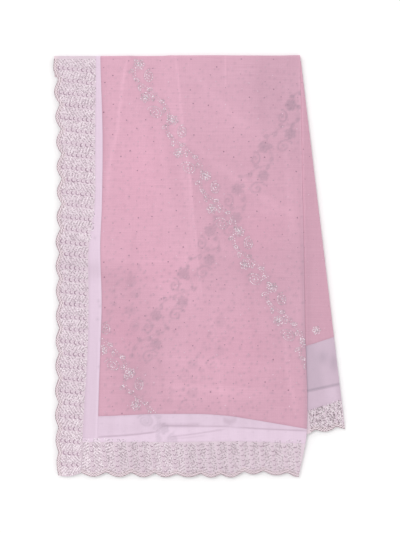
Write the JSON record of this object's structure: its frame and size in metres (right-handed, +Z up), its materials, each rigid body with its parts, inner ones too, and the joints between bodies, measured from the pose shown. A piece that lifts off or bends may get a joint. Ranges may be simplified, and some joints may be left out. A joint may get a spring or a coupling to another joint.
{
  "type": "folded saree",
  "caption": "Pink georgette saree folded flat, with silver stone work, lilac strips and scalloped sequin lace along its side and end.",
  "frame": {"origin": "on the surface that the folded saree lies on, under the middle of its bounding box", "axes": "+Z up out of the surface, +Y from the scalloped end to the far fold, +X from the scalloped side to the right-hand fold"},
  "size_m": [0.6328, 0.9162, 0.0142],
  "materials": {
    "georgette": "sheer matte",
    "facing": "soft satin",
    "lace": "sequinned"
  },
  "bodies": {
    "root": {"front_panel": "georgette", "side_strip": "facing", "side_lace": "lace", "hem_band": "facing", "hem_strip": "facing", "hem_lace": "lace", "under_panel": "georgette", "under_band": "facing", "under_strip": "facing", "under_lace": "lace", "folded_layers": "georgette"}
  },
  "joints": []
}
